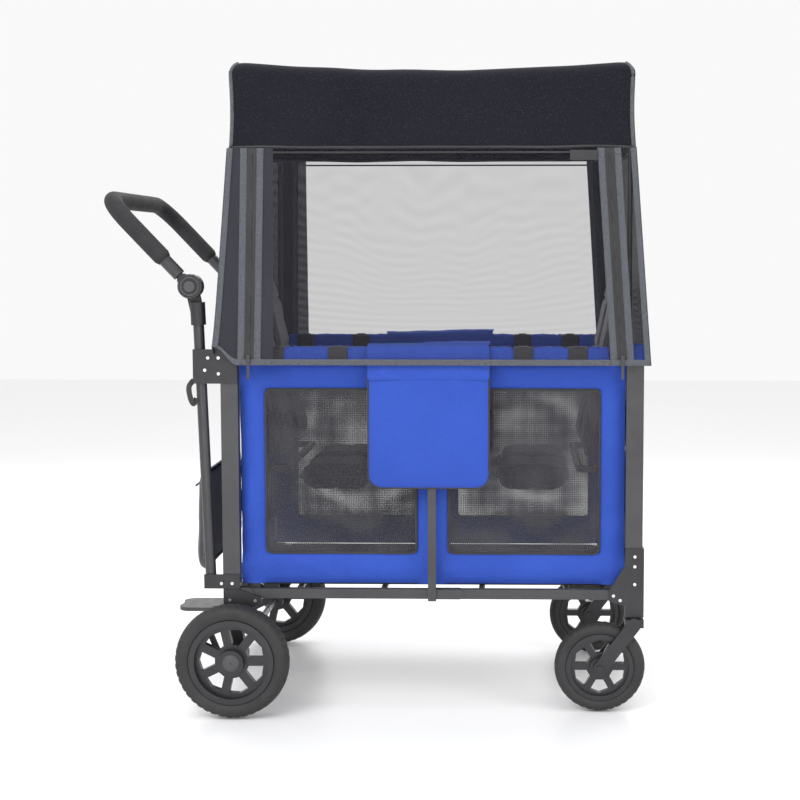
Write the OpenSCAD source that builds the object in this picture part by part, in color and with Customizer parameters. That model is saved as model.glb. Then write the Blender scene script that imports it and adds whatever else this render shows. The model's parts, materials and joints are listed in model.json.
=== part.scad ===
// A folding four-seat stroller wagon: tube frame, fabric tub, push handle, canopy and net cover.
// +X points to the swivel wheels at the front, the push handle is at -X, and Z = 0 is the floor.

/* [Frame] */
// Distance from the middle of the tub to each pair of corner posts
post_x = 448; // [440:1:456]
// Distance from the middle plane to the posts and rails
post_y = 272; // [272:1:276]
// Height of the post tops
post_top = 815; // [810:1:820]
// Height of the bottom rail hinges
bottom_z = 264; // [262:1:266]
// Height of the top rail hinges
top_z = 800; // [796:1:800]

/* [Wheels] */
// Radius of the rear tyres
rear_r = 127; // [122:1:127]
// Width of the rear tyres
rear_w = 54; // [44:1:56]
// Distance from the middle plane to the middle of a rear wheel
rear_y = 345; // [344:1:350]
// Radius of the front tyres
front_r = 101.5; // [95:0.5:101.5]
// Width of the front tyres
front_w = 42; // [36:1:44]
// How far the front axle trails behind the swivel axis
trail = 75; // [70:1:78]

/* [Handle] */
// Height of the handle knuckles
knuckle_z = 949; // [940:1:960]
// Length from the knuckle to the axis of the grip bar
handle_l = 263; // [240:1:280]
// Angle of the handle above the horizontal
handle_a = 46.5; // [30:0.5:60]

/* [Canopy] */
// Height of the roof over the end hoops
roof_top = 1442; // [1400:1:1460]
// Height of the roof's lower edge
roof_edge = 1251; // [1220:1:1270]
// Height of the net cover's hem
hem_z = 776; // [770:1:790]

/* [Hidden] */
$fn = 48;

body_x = 126;            // the tub's middle, ahead of the whole wagon's middle
tube_x = 38;             // corner post size along the wagon
tube_y = 26;             // corner post size across the wagon
wall = 2;                // wall of the steel tubes
pivot_x = 412;           // rail hinges at the end frames
pivot_pin_r = 4;         // hinge pins
running = 0.05;          // radial clearance of a pin in its bore
rail_h = 22;             // height of the folding rails
rail_t = 16;             // thickness of the folding rails
rail_gap = 22;           // a forked rail starts this far from its pin
plate_t = 3;             // hinge plates
plate_gap = 0.5;         // side clearance of the hinge plates
floor_z = 276;           // underside of the floor boards
floor_t = 8;
seat_pivot_x = 328;      // seat hinge bars
seat_pivot_z = 540;
seat_bar_r = 8;
fabric = 4;              // thickness of the plain fabric walls
rear_axle_x = -438;
axle_r = 6;
caster_x = post_x + 1;
front_axle_x = caster_x - trail;
knuckle_x = -532;
knuckle_r = 27;
handle_tube_r = 14.5;
grip_r = 19.5;
net = 2;                 // thickness of the plain net panels
net_top_x = 445;
net_top_y = 282;
net_low_x = 478;
net_low_y = 312;
zip_rear_x = -400;
zip_front_x = 418;
roof_x = 448;
roof_y = 279;
hoop_x = 434;
hoop_y = 266;
hoop_r = 6;
pedal_x = -500;
pedal_z = 195;
pedal_r = 7;

frame_grey = [0.11, 0.11, 0.12];
plastic_black = [0.06, 0.06, 0.065];
royal_blue = [0.13, 0.27, 0.72];
canopy_black = [0.07, 0.07, 0.09];
steel = [0.75, 0.75, 0.76];

// ---- helpers ----

// both sides of the wagon
module pair() {
    children();
    mirror([0, 1, 0]) children();
}

// a box between two corners
module block(lo, hi) {
    translate(lo) cube(hi - lo);
}

// a round bar along Y, centred on y
module bar_y(x, y, z, r, len) {
    translate([x, y, z]) rotate([90, 0, 0]) cylinder(r = r, h = len, center = true);
}

// a flat outline in X and Z, spread from y to y + t
module plate_xz(y, t) {
    translate([0, y + t, 0]) rotate([90, 0, 0]) linear_extrude(t) children();
}

// an upright rectangular tube
module post_tube(x, y, z0, z1, sx, sy) {
    translate([x, y, z0]) linear_extrude(z1 - z0) difference() {
        square([sx, sy], center = true);
        square([sx - 2 * wall, sy - 2 * wall], center = true);
    }
}

// a stadium between two points of the XZ plane
module link_shape(a, b, r) {
    d = b - a;
    translate(a) circle(r);
    translate(b) circle(r);
    translate(a) rotate(atan2(d[1], d[0])) translate([0, -r]) square([norm(d), 2 * r]);
}

// ---- pieces that both end frames share, drawn at the front ----

post_in = post_y - tube_y / 2;
post_out = post_y + tube_y / 2;
rail_in = post_y - rail_t / 2;
rail_out = post_y + rail_t / 2;

// two corner posts, the cross tubes between them and the hinge ears for the rails
module end_frame(low) {
    pair() post_tube(post_x, post_y, low, post_top, tube_x, tube_y);
    for (z = [bottom_z + 24, seat_pivot_z, top_z - 20])
        bar_y(post_x, 0, z, 10, 2 * post_in);
    pair() for (z = [bottom_z, top_z]) hinge_ears(z);
}

// two ears and their pin, joined to a post
module hinge_ears(z) {
    reach = post_x - tube_x / 2 - pivot_x;
    for (y = [rail_in - plate_gap - plate_t, rail_out + plate_gap])
        plate_xz(y, plate_t) {
            translate([pivot_x, z]) circle(13);
            translate([pivot_x, z - 13]) square([reach, 26]);
        }
    bar_y(pivot_x, post_y, z, pivot_pin_r, rail_t + 2 * (plate_gap + plate_t));
}

// the two raised seats' carrier: side arms and the bar that the seats hinge on
module seat_frame() {
    arm = [12, 14];
    pair() block([seat_pivot_x, 226, seat_pivot_z - arm[1] / 2],
                 [post_x - 10, 226 + arm[0], seat_pivot_z + arm[1] / 2]);
    bar_y(seat_pivot_x, 0, seat_pivot_z, seat_bar_r, 2 * 226);
}

// two leaning seat backs side by side, with rounded tops
module seat_backs() {
    low = [345, 564];
    high = [432, 975];
    lean = atan2(high[0] - low[0], high[1] - low[1]);
    tall = norm(high - low);
    half = 105;
    round_r = 60;
    pair() translate([low[0], 114, low[1]]) rotate([0, lean, 0])
        rotate([90, 0, -90]) translate([0, 0, -17]) linear_extrude(34) {
            translate([-half, 0]) square([2 * half, tall - round_r]);
            translate([-half + round_r, tall - 2 * round_r])
                square([2 * (half - round_r), 2 * round_r]);
            for (side = [-1, 1]) translate([side * (half - round_r), tall - round_r]) circle(round_r);
        }
}

// the fabric wall across an end of the tub
module end_panel() {
    x = post_x - tube_x / 2 + 2;
    block([x, -243, 291], [x + fabric, 243, 527]);
    block([x, -222, 527], [x + fabric, 222, 554]);
    block([x, -243, 554], [x + fabric, 243, 768]);
}

// the hoop that carries one end of the roof
module hoop() {
    bend = 50;
    high = roof_top - 26;
    pair() {
        translate([hoop_x, hoop_y, post_top]) cylinder(r = hoop_r, h = high - bend - post_top);
        translate([hoop_x, hoop_y - bend, high - bend]) rotate([0, -90, 0])
            rotate_extrude(angle = 90) translate([bend, 0]) circle(hoop_r);
    }
    bar_y(hoop_x, 0, high, hoop_r, 2 * (hoop_y - bend));
}

// the net across an end, flaring towards the hem
module net_end() {
    hull() {
        block([net_top_x, -net_top_y + net, roof_edge - 2], [net_top_x + net, net_top_y - net, roof_edge - 1]);
        block([net_low_x, -net_low_y, hem_z], [net_low_x + net, net_low_y, hem_z + 1]);
    }
}

module to_rear() {
    mirror([1, 0, 0]) children();
}

// ---- rear frame ----

module rear_frame() {
    color(frame_grey) to_rear() end_frame(285);
}

handle_post_low = [-496, 292];
handle_post_high = [-517.4, 912];

module rear_brackets() {
    x0 = -post_x - tube_x / 2 - 56;
    x1 = -post_x + tube_x / 2;
    color(plastic_black) pair() {
        plate_xz(post_out, 4) translate([x0 - 4, 735]) square([x1 - x0 + 4, 76]);
        plate_xz(post_out, 4) translate([x0 + 14, 276]) square([x1 - x0 - 14, 32]);
    }
}

// castings from the bottom of the rear posts down to the axle, with an arm for the brake bar
module rear_legs() {
    color(plastic_black) pair() {
        plate_xz(post_in, tube_y) difference() {
            union() {
                translate([rear_axle_x, rear_r]) circle(24);
                polygon([[rear_axle_x - 18, rear_r], [-post_x - 19, 230], [-post_x - 19, 285],
                         [-post_x + 19, 285], [-post_x + 19, 215], [rear_axle_x + 18, rear_r]]);
                link_shape([-post_x + 3, 212], [pedal_x, pedal_z], 14);
            }
            translate([pedal_x, pedal_z]) circle(pedal_r + running);
            translate([rear_axle_x, rear_r]) circle(8);
        }
        plate_xz(post_out, 4)
            polygon([[-463, 275], [-463, 234], [-433, 222], [-382, 243], [-382, 256], [-433, 275]]);
    }
}

module rear_axle() {
    inner = rear_y - rear_w / 2 - 4;
    outer = rear_y + rear_w / 2 - 2;
    color(steel) {
        bar_y(rear_axle_x, 0, rear_r, 8, 2 * inner);
        pair() bar_y(rear_axle_x, (inner + outer) / 2, rear_r, axle_r, outer - inner);
    }
}

module rivet_y(x, y, z, r) {
    bar_y(x, y + 1.25, z, r, 2.5);
}

module rear_rivets() {
    y = post_out + 4;
    spots = [[-493, 792], [-470, 792], [-500, 765], [-470, 757], [-470, 288], [-446, 288],
             [-452, 250], [-395, 249]];
    color(steel) pair() for (s = spots) rivet_y(s[0], y, s[1], 3.5);
}

module rear_seat_frame() {
    color(frame_grey) to_rear() seat_frame();
}

// puts a shape drawn up the Z axis along a handle post
module on_handle_post() {
    d = handle_post_high - handle_post_low;
    translate([handle_post_low[0], post_y, handle_post_low[1]])
        rotate([0, atan2(d[0], d[1]), 0]) children();
}

handle_post_l = norm(handle_post_high - handle_post_low);

module handle_posts() {
    color(frame_grey) pair() on_handle_post() difference() {
        cylinder(r = 12, h = handle_post_l);
        translate([0, 0, -1]) cylinder(r = 10, h = handle_post_l - 30);
    }
}

// the fixed half of each handle knuckle, with a socket over the post
module knuckle_housings() {
    socket = 48;
    color(plastic_black) pair() difference() {
        union() {
            bar_y(knuckle_x, post_y - 9, knuckle_z, knuckle_r, 14);
            plate_xz(post_y - 16, 14)
                link_shape([knuckle_x, knuckle_z], [-517, 880], 14);
            on_handle_post() translate([0, 0, handle_post_l - socket]) cylinder(r = 16.5, h = socket + 2);
        }
        on_handle_post() translate([0, 0, handle_post_l - 100]) cylinder(r = 12, h = 100);
    }
}

module rear_pocket() {
    x0 = -548;
    color(plastic_black) difference() {
        block([x0, -250, 307], [x0 + 34, 250, 530]);
        block([x0 + 3, -247, 310], [x0 + 31, 247, 531]);
    }
}

module rear_end_panel() {
    color(royal_blue) to_rear() end_panel();
}

module seat_backs_rear() {
    color(canopy_black) to_rear() seat_backs();
}

module rear_hoop() {
    color(frame_grey) to_rear() hoop();
}

module side_walls() {
    x = post_x - tube_x / 2;
    color(royal_blue) pair() block([-x, 248, 291], [x, 248 + fabric, 785]);
}

module net_sides() {
    color(canopy_black) pair() hull() {
        block([2 - net_top_x, net_top_y - net, roof_edge - 2], [net_top_x - 2, net_top_y, roof_edge - 1]);
        block([2 - net_low_x, net_low_y - net, hem_z], [net_low_x - 2, net_low_y, hem_z + 1]);
    }
}

// the rear net stands up over the corner brackets
module net_end_rear() {
    color(canopy_black) to_rear() difference() {
        net_end();
        pair() block([net_top_x - 5, 255, hem_z - 5], [net_low_x + 10, net_low_y + 5, post_top + 5]);
    }
}

// the roof's long outline, sagging between the hoops, set in by inset
function roof_outline(inset) =
    let (half = roof_x - inset, bend = 26, dip = 22, steps = 24)
    concat(
        [[-half, roof_edge - inset]],
        [for (i = [0:steps])
            let (x = half * sin(-90 + 180 * i / steps),
                 over = max(0, abs(x) - half + bend) / bend,
                 edge = bend * (1 - sqrt(1 - over * over)))
            [x, roof_top - inset - edge - dip * (1 - pow(x / half, 2))]],
        [[half, roof_edge - inset]]
    );

module canopy_roof() {
    color(canopy_black) difference() {
        plate_xz(-roof_y, 2 * roof_y) polygon(roof_outline(0));
        plate_xz(fabric - roof_y, 2 * (roof_y - fabric)) polygon(roof_outline(fabric));
    }
}

// ---- handle ----

arm_y = post_y + 6;      // plane of the handle's two arms
bend_r = 70;
tube_start = 34;

// a U-shaped bar in the handle's own plane, from start along each arm
module handle_loop(r, start) {
    reach = handle_l - bend_r;
    pair() {
        translate([start, arm_y, 0]) rotate([0, 90, 0]) cylinder(r = r, h = reach - start);
        translate([reach, arm_y - bend_r, 0]) rotate_extrude(angle = 90) translate([bend_r, 0]) circle(r);
    }
    bar_y(handle_l, 0, 0, r, 2 * (arm_y - bend_r));
}

// puts a shape drawn in the handle's plane in its place
module on_handle() {
    translate([knuckle_x, 0, knuckle_z]) rotate([0, handle_a - 180, 0]) children();
}

module handle_bar() {
    color(frame_grey) on_handle() difference() {
        handle_loop(handle_tube_r, tube_start);
        handle_loop(handle_tube_r - wall, tube_start - 1);
    }
}

module handle_grip() {
    start = 80;
    color(plastic_black) on_handle() difference() {
        handle_loop(grip_r, start);
        handle_loop(handle_tube_r, start - 1);
    }
}

disc_y = post_y - 1.5;   // inner face of the moving half of a knuckle
disc_t = 14;
button_r = 12;

module knuckle_discs() {
    color(plastic_black) on_handle() pair() difference() {
        union() {
            bar_y(0, disc_y + disc_t / 2, 0, knuckle_r, disc_t);
            plate_xz(disc_y, disc_t) link_shape([0, 0], [tube_start - 14, 0], 14);
        }
        bar_y(0, disc_y + disc_t, 0, button_r + 0.3, 18);
    }
}

module handle_button() {
    color(frame_grey) bar_y(knuckle_x, disc_y + disc_t, knuckle_z, button_r, 8.4);
}

module handle_button_far() {
    handle_button();
}

module handle_button_near() {
    mirror([0, 1, 0]) handle_button();
}

// ---- brake ----

module brake_pedal() {
    half = 55;
    pawl_y = 300;
    color(plastic_black) {
        bar_y(pedal_x, 0, pedal_z, pedal_r, 2 * (pawl_y + 10));
        translate([0, 0, 172]) linear_extrude(9) {
            translate([-590, -half]) square([95, 2 * half]);
            translate([-614, 28 - half]) square([24, 2 * (half - 28)]);
            for (side = [-1, 1]) translate([-590, side * (half - 28)]) circle(28);
        }
        block([pedal_x - 9, -half, 176], [pedal_x + 5, half, pedal_z]);
        pair() plate_xz(pawl_y, 10) link_shape([pedal_x, pedal_z], [-478, 140], 6);
    }
}

// ---- wheels, each drawn about the origin with its axle along Y ----

module tyre(r, w) {
    inner = 0.74 * r;
    round_r = 12;
    color(plastic_black) rotate([90, 0, 0]) rotate_extrude() {
        translate([inner, -w / 2]) square([r - inner - round_r, w]);
        translate([inner, round_r - w / 2]) square([r - inner, w - 2 * round_r]);
        for (side = [-1, 1]) translate([r - round_r, side * (w / 2 - round_r)]) circle(round_r);
    }
}

// one window between two spokes
module rim_window(r0, r1, spokes, half_spoke) {
    half = 180 / spokes;
    a0 = half - asin(half_spoke / r0);
    a1 = half - asin(half_spoke / r1);
    polygon([for (p = [[r0, -a0], [r1, -a1], [r1 / cos(a1), 0], [r1, a1], [r0, a0]]) p[0] * [cos(p[1]), sin(p[1])]]);
}

module rim(r, w, spokes, bush_r) {
    outer = 0.74 * r;
    color(frame_grey) rotate([90, 0, 0]) difference() {
        union() {
            translate([0, 0, -w / 2 + 3]) linear_extrude(w - 6) difference() {
                circle(outer);
                circle(0.64 * r);
            }
            translate([0, 0, -9]) linear_extrude(18) difference() {
                circle(0.66 * r);
                for (i = [0:spokes - 1]) rotate(360 * (i + 0.5) / spokes)
                    rim_window(0.3 * r, 0.55 * r, spokes, 0.075 * r);
            }
            cylinder(r = 0.22 * r, h = w, center = true);
        }
        cylinder(r = bush_r, h = w + 2, center = true);
    }
}

module bearing(w, bush_r, shaft_r) {
    color(steel) rotate([90, 0, 0]) difference() {
        cylinder(r = bush_r, h = w, center = true);
        cylinder(r = shaft_r + running, h = w + 2, center = true);
    }
}

rear_bush_r = 11;
front_bush_r = 9;
front_axle_r = 5;

module at_rear(side) {
    translate([rear_axle_x, side * rear_y, rear_r]) children();
}

module at_front(side) {
    translate([front_axle_x, side * post_y, front_r]) children();
}

module tyre_rear_near() { at_rear(-1) tyre(rear_r, rear_w); }
module tyre_rear_far() { at_rear(1) tyre(rear_r, rear_w); }
module rim_rear_near() { at_rear(-1) rim(rear_r, rear_w, 7, rear_bush_r); }
module rim_rear_far() { at_rear(1) rim(rear_r, rear_w, 7, rear_bush_r); }
module bearing_rear_near() { at_rear(-1) bearing(rear_w, rear_bush_r, axle_r); }
module bearing_rear_far() { at_rear(1) bearing(rear_w, rear_bush_r, axle_r); }
module tyre_front_near() { at_front(-1) tyre(front_r, front_w); }
module tyre_front_far() { at_front(1) tyre(front_r, front_w); }
module rim_front_near() { at_front(-1) rim(front_r, front_w, 6, front_bush_r); }
module rim_front_far() { at_front(1) rim(front_r, front_w, 6, front_bush_r); }
module bearing_front_near() { at_front(-1) bearing(front_w, front_bush_r, front_axle_r); }
module bearing_front_far() { at_front(1) bearing(front_w, front_bush_r, front_axle_r); }

// ---- swivel forks ----

stem_r = 7;
swivel_gap = 0.15;
crown_z = 194;
housing_z = 216;
housing_top = 262;

// a fork with its stem, and the axle bolt as a solid of its own
module caster(side) {
    arm_in = front_w / 2 + 3;
    arm_t = 6;
    translate([0, side * post_y, 0]) {
        color(plastic_black) difference() {
            union() {
                for (y = [-arm_in - arm_t, arm_in]) plate_xz(y, arm_t) {
                    link_shape([caster_x, crown_z + 6], [front_axle_x, front_r], 15);
                    translate([caster_x - 20, crown_z]) square([41, 18]);
                }
                block([caster_x - 20, -arm_in - 1, crown_z], [caster_x + 21, arm_in + 1, crown_z + 18]);
                translate([caster_x, 0, crown_z + 10]) cylinder(r = 14, h = housing_z - crown_z - 10.5);
                translate([caster_x, 0, crown_z + 10]) cylinder(r = stem_r, h = 50);
            }
            bar_y(front_axle_x, 0, front_r, front_axle_r, 100);
        }
        color(steel) {
            bar_y(front_axle_x, 0, front_r, front_axle_r, 2 * (arm_in + arm_t));
            for (end = [-1, 1]) bar_y(front_axle_x, end * (arm_in + arm_t + 2), front_r, 8, 4);
        }
    }
}

module caster_fork_near() { caster(-1); }
module caster_fork_far() { caster(1); }

// ---- folding rails ----

strap_w = 45;
cover_y = 12;            // half width of a rail's fabric cover
cover_h = 15;            // half height of a rail's fabric cover
strap_more = 1.5;        // thickness of the webbing

// a half rail from its frame hinge, with a hole for the middle pin
module rail_rear(z, frame_play, mid_play) {
    pair() difference() {
        plate_xz(rail_in, rail_t) link_shape([-pivot_x, z], [0, z], rail_h / 2);
        block([-pivot_x + 28, rail_in - 1, z - rail_h / 2 + wall],
              [-30, rail_out - wall, z + rail_h / 2 - wall]);
        bar_y(-pivot_x, post_y, z, pivot_pin_r + frame_play, 40);
        bar_y(0, post_y, z, pivot_pin_r + mid_play, 40);
    }
}

// the other half, with the fork and the middle pin
module rail_front(z, frame_play, pin_end) {
    pair() difference() {
        union() {
            plate_xz(rail_in, rail_t) {
                translate([pivot_x, z]) circle(rail_h / 2);
                translate([rail_gap, z - rail_h / 2]) square([pivot_x - rail_gap, rail_h]);
            }
            block([rail_gap + 2, rail_in - plate_gap, z - 9], [68, rail_out + plate_gap, z + 9]);
            for (y = [rail_in - plate_gap - plate_t, rail_out + plate_gap])
                plate_xz(y, plate_t) link_shape([0, z], [60, z], rail_h / 2);
            translate([0, (rail_in - plate_gap - plate_t + pin_end) / 2, z]) rotate([90, 0, 0])
                cylinder(r = pivot_pin_r, h = pin_end - rail_in + plate_gap + plate_t, center = true);
        }
        block([75, rail_in - 1, z - rail_h / 2 + wall], [pivot_x - 28, rail_out - wall, z + rail_h / 2 - wall]);
        bar_y(pivot_x, post_y, z, pivot_pin_r + frame_play, 40);
    }
}

module floor_bearers() {
    r = 7;
    for (x = [-300, -110]) bar_y(x, 0, floor_z - r, r, 2 * rail_in + 4);
}

post_plate_in = rail_out + 2 * plate_gap + plate_t + 0.5;
post_plate_out = post_plate_in + 6.5;

module bottom_rails_rear() {
    color(frame_grey) {
        rail_rear(bottom_z, running, running);
        floor_bearers();
    }
}

module bottom_rails_front() {
    color(frame_grey) {
        rail_front(bottom_z, running, post_plate_out - 0.5);
        mirror([1, 0, 0]) floor_bearers();
    }
}

module top_rails_rear() {
    color(frame_grey) rail_rear(top_z, running, running);
}

module top_rails_front() {
    color(frame_grey) rail_front(top_z, 0.5, post_plate_out - 0.5);
}

module floor_board() {
    block([-385, -240, floor_z], [-4, 240, floor_z + floor_t]);
}

module floor_board_rear() {
    color(canopy_black) floor_board();
}

module floor_board_front() {
    color(canopy_black) mirror([1, 0, 0]) floor_board();
}

// a sleeve around a top rail, from x0 to x1
module rail_sleeve(x0, x1, inner, outer) {
    translate([x0, post_y, top_z]) rotate([90, 0, 90]) linear_extrude(x1 - x0) difference() {
        square(2 * outer, center = true);
        square(2 * inner, center = true);
    }
}

module covers(x0, x1, straps) {
    rail = [rail_t / 2, rail_h / 2];
    cover = [cover_y, cover_h];
    color(royal_blue) pair() rail_sleeve(x0, x1, rail, cover);
    color(canopy_black) pair() for (x = straps)
        rail_sleeve(x - strap_w / 2, x + strap_w / 2, cover, cover + [strap_more, strap_more]);
}

module top_covers_rear() {
    covers(-390, -34, [-347, -207]);
}

module top_covers_front() {
    covers(74, 390, [202, 322]);
}

module centre_posts() {
    color(frame_grey) pair() difference() {
        plate_xz(post_plate_in, post_plate_out - post_plate_in)
            translate([-9, bottom_z - 14]) square([18, top_z - bottom_z + 28]);
        bar_y(0, post_y, bottom_z, pivot_pin_r + running, 60);
        bar_y(0, post_y, top_z, pivot_pin_r + 0.5, 60);
    }
}

module side_pouches() {
    low = 502;
    high = 822;
    left = -142;
    right = 129;
    round_r = 30;
    color(royal_blue) pair() plate_xz(post_plate_out, 16) {
        translate([left, low + round_r]) square([right - left, high - low - round_r]);
        translate([left + round_r, low]) square([right - left - 2 * round_r, 2 * round_r]);
        for (x = [left + round_r, right - round_r]) translate([x, low + round_r]) circle(round_r);
    }
}

// ---- front frame ----

module front_frame() {
    color(frame_grey) end_frame(housing_top);
}

module front_sleeves() {
    x0 = post_x - tube_x / 2;
    x1 = post_x + tube_x / 2;
    t = 3.5;
    color(plastic_black) pair() {
        difference() {
            block([x0, post_in, housing_top], [x1 + t, post_out + t, 370]);
            block([x0 - 1, post_in - 1, housing_top - 1], [x1, post_out, 371]);
        }
        difference() {
            block([x0 + 0.5, post_in - 2, housing_z], [x1 + t, post_out + t, housing_top]);
            translate([caster_x, post_y, housing_z - 1]) cylinder(r = stem_r + swivel_gap, h = 43);
        }
        plate_xz(post_out, t) polygon([[x0 + 1, 335], [x0 + 1, 240], [394, 251], [394, 276]]);
    }
}

module front_rivets() {
    y = post_out + 3.5;
    spots = [[450, 352], [450, 330], [450, 290], [403, 264], [418, 254]];
    color(steel) pair() for (s = spots) rivet_y(s[0], y, s[1], 3.5);
}

module front_seat_frame() { color(frame_grey) seat_frame(); }
module front_end_panel() { color(royal_blue) end_panel(); }
module seat_backs_front() { color(canopy_black) seat_backs(); }
module front_hoop() { color(frame_grey) hoop(); }
module net_end_front() { color(canopy_black) net_end(); }

// ---- seats ----

// two cushions on lugs that turn on the hinge bar
module seat_bases() {
    lug_r = seat_bar_r + 5;
    x0 = seat_pivot_x - 20;
    x1 = 140;
    color(canopy_black) pair() difference() {
        union() {
            block([x1, 12, seat_pivot_z - 53], [x0, 216, seat_pivot_z + 5]);
            for (y = [60, 168]) {
                bar_y(seat_pivot_x, y, seat_pivot_z, lug_r, 30);
                block([x0 - 2, y - 15, seat_pivot_z - 8], [seat_pivot_x, y + 15, seat_pivot_z + 5]);
            }
        }
        bar_y(seat_pivot_x, 0, seat_pivot_z, seat_bar_r + running, 500);
    }
}

module seat_base_rear() { to_rear() seat_bases(); }
module seat_base_front() { seat_bases(); }

// ---- zip sliders ----

// a slider and its pull, at the hem of the net
module zip_slider(x) {
    color(steel) translate([x, 0, 0]) {
        block([-4, net_low_y + 0.5, 784], [4, net_low_y + 5, 800]);
        block([-3, net_low_y + 2, 748], [3, net_low_y + 4, 784]);
    }
}

module zip_rear_near() { mirror([0, 1, 0]) zip_slider(zip_rear_x); }
module zip_rear_far() { zip_slider(zip_rear_x); }
module zip_front_near() { mirror([0, 1, 0]) zip_slider(zip_front_x); }
module zip_front_far() { zip_slider(zip_front_x); }

// moves a piece from the tub's middle to the whole wagon's
module placed() {
    translate([body_x, 0, 0]) children();
}

placed() rear_frame();
placed() rear_brackets();
placed() rear_legs();
placed() rear_axle();
placed() rear_rivets();
placed() rear_seat_frame();
placed() handle_posts();
placed() knuckle_housings();
placed() rear_pocket();
placed() rear_end_panel();
placed() seat_backs_rear();
placed() rear_hoop();
placed() side_walls();
placed() net_sides();
placed() net_end_rear();
placed() canopy_roof();
placed() handle_bar();
placed() handle_grip();
placed() knuckle_discs();
placed() handle_button_near();
placed() handle_button_far();
placed() brake_pedal();
placed() tyre_rear_near();
placed() rim_rear_near();
placed() bearing_rear_near();
placed() tyre_rear_far();
placed() rim_rear_far();
placed() bearing_rear_far();
placed() tyre_front_near();
placed() rim_front_near();
placed() bearing_front_near();
placed() tyre_front_far();
placed() rim_front_far();
placed() bearing_front_far();
placed() caster_fork_near();
placed() caster_fork_far();
placed() bottom_rails_rear();
placed() bottom_rails_front();
placed() floor_board_rear();
placed() floor_board_front();
placed() top_rails_rear();
placed() top_rails_front();
placed() top_covers_rear();
placed() top_covers_front();
placed() centre_posts();
placed() side_pouches();
placed() front_frame();
placed() front_sleeves();
placed() front_rivets();
placed() front_seat_frame();
placed() front_end_panel();
placed() seat_backs_front();
placed() front_hoop();
placed() net_end_front();
placed() seat_base_rear();
placed() seat_base_front();
placed() zip_rear_near();
placed() zip_rear_far();
placed() zip_front_near();
placed() zip_front_far();
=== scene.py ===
import json
import math

import bmesh
import bpy
from mathutils import Matrix, Vector, noise

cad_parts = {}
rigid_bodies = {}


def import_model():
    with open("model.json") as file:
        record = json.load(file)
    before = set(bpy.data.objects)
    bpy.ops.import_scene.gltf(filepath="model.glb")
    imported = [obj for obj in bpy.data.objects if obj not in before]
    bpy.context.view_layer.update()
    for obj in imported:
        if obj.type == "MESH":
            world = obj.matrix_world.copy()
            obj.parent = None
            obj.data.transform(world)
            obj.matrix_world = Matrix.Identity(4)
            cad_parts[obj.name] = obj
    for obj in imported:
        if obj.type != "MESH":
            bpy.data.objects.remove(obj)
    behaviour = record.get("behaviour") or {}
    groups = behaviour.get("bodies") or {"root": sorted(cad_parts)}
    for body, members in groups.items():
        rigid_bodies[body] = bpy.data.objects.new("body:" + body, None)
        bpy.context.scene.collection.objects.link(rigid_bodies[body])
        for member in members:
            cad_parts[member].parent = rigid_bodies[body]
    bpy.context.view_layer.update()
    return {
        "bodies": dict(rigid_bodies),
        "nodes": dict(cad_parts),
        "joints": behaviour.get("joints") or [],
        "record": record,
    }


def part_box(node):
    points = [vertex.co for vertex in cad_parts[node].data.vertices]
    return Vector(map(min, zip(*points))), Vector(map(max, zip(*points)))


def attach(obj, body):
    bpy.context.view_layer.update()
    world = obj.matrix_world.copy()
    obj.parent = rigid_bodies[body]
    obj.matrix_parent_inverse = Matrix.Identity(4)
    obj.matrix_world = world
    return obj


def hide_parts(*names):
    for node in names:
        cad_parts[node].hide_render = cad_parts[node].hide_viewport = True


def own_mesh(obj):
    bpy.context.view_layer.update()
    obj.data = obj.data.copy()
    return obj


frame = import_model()

# ---- places, in metres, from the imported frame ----


def box(node):
    low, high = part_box(node)
    return Vector(low), Vector(high)


TUB = (box("side_walls")[0] + box("side_walls")[1]) / 2
MID_X = TUB.x


def spot(x, y, z):
    """A point whose X is counted from the middle of the tub."""
    return Vector((MID_X + x, y, z))


# ---- mesh helpers ----


def add(name, mesh, material, body=None, smooth=True):
    """Makes an object of a mesh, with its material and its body."""
    piece = bpy.data.objects.new(name, mesh)
    bpy.context.collection.objects.link(piece)
    mesh.materials.append(material)
    for polygon in mesh.polygons:
        polygon.use_smooth = smooth
    if body:
        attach(piece, body)
    return piece


def mesh_from(name, points, faces):
    mesh = bpy.data.meshes.new(name)
    mesh.from_pydata([tuple(p) for p in points], [], faces)
    mesh.validate()
    mesh.update()
    return mesh


def grid(name, place, columns, rows, keep=None, wrap=False):
    """A sheet of columns by rows faces. place(u, v) gives a point, and keep(u, v) says which faces stay."""
    across = columns if wrap else columns + 1
    points = [place(i / columns, j / rows) for j in range(rows + 1) for i in range(across)]
    faces = []
    for j in range(rows):
        for i in range(columns):
            if keep and not keep((i + 0.5) / columns, (j + 0.5) / rows):
                continue
            a, b = j * across + i, j * across + (i + 1) % across
            faces.append((a, b, b + across, a + across))
    mesh = mesh_from(name, points, faces)
    drop_loose(mesh)
    return mesh


def drop_loose(mesh):
    work = bmesh.new()
    work.from_mesh(mesh)
    bmesh.ops.delete(work, geom=[v for v in work.verts if not v.link_faces], context="VERTS")
    work.to_mesh(mesh)
    work.free()


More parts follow.
